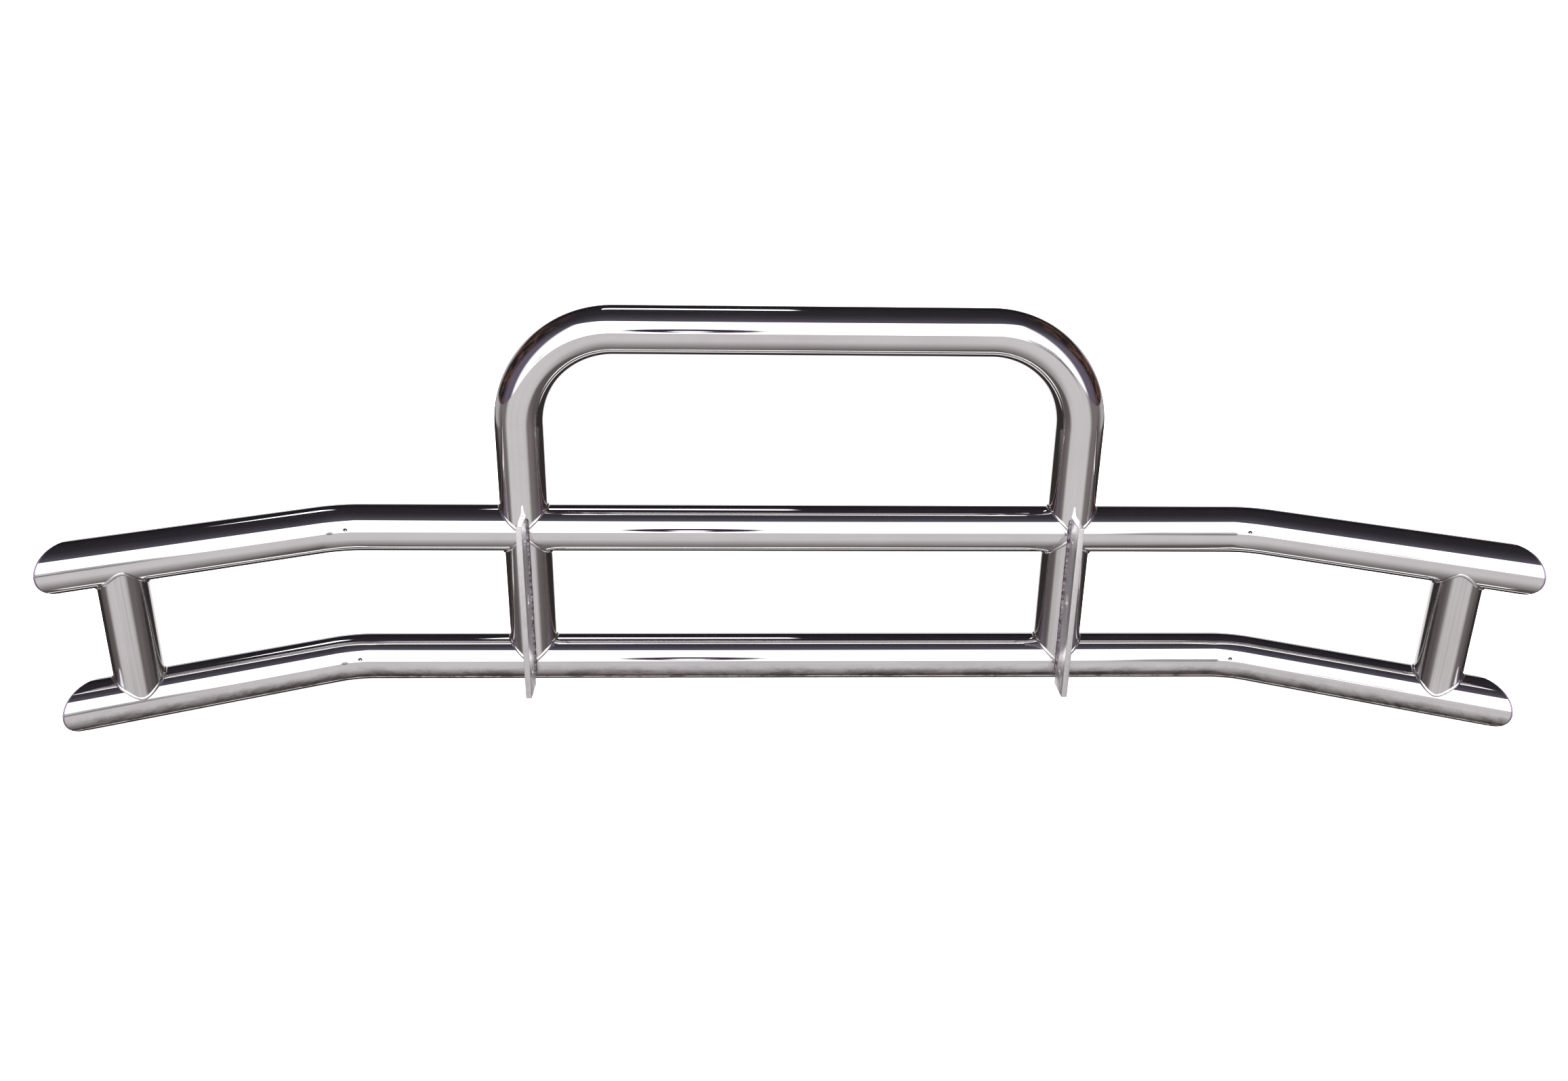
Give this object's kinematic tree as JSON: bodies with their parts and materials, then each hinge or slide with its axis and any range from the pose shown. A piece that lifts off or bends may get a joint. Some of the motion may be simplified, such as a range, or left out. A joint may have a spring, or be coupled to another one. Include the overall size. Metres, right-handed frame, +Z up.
{
  "type": "front grille guard",
  "caption": "Welded tube guard for a truck's front: upper and lower rails with swept wings, a hoop over the grille, end struts, and slotted flat plates behind it for bolting on.",
  "frame": {"origin": "middle of the guard's footprint, on the plane that the lower rail rests on", "axes": "+X to the vehicle's left along the rails, +Y to the rear, towards the truck, +Z up; the front faces -Y"},
  "size_m": [2.2439, 0.259, 0.6332],
  "materials": {
    "mirror_tube": "mirror-polished stainless steel",
    "buffed_tube": "buffed stainless steel, a little softer than the mirror-polished tubes",
    "polished_weld": "weld bead, blended and polished",
    "satin_plate": "satin stainless flat bar",
    "raw_weld": "unpolished weld bead with heat tint"
  },
  "bodies": {
    "root": {"upper_crossbar": "mirror_tube", "lower_crossbar": "mirror_tube", "hoop": "mirror_tube", "left_lower_upright": "buffed_tube", "left_end_strut": "buffed_tube", "upper_left_end_cap": "mirror_tube", "lower_left_end_cap": "mirror_tube", "left_mounting_plate": "satin_plate", "left_hoop_weld": "polished_weld", "left_upright_top_weld": "polished_weld", "left_upright_foot_weld": "polished_weld", "left_strut_top_weld": "polished_weld", "left_strut_foot_weld": "polished_weld", "left_plate_outer_weld": "raw_weld", "left_plate_inner_weld": "raw_weld", "right_lower_upright": "buffed_tube", "right_end_strut": "buffed_tube", "upper_right_end_cap": "mirror_tube", "lower_right_end_cap": "mirror_tube", "right_mounting_plate": "satin_plate", "right_hoop_weld": "polished_weld", "right_upright_top_weld": "polished_weld", "right_upright_foot_weld": "polished_weld", "right_strut_top_weld": "polished_weld", "right_strut_foot_weld": "polished_weld", "right_plate_outer_weld": "raw_weld", "right_plate_inner_weld": "raw_weld"}
  },
  "joints": []
}
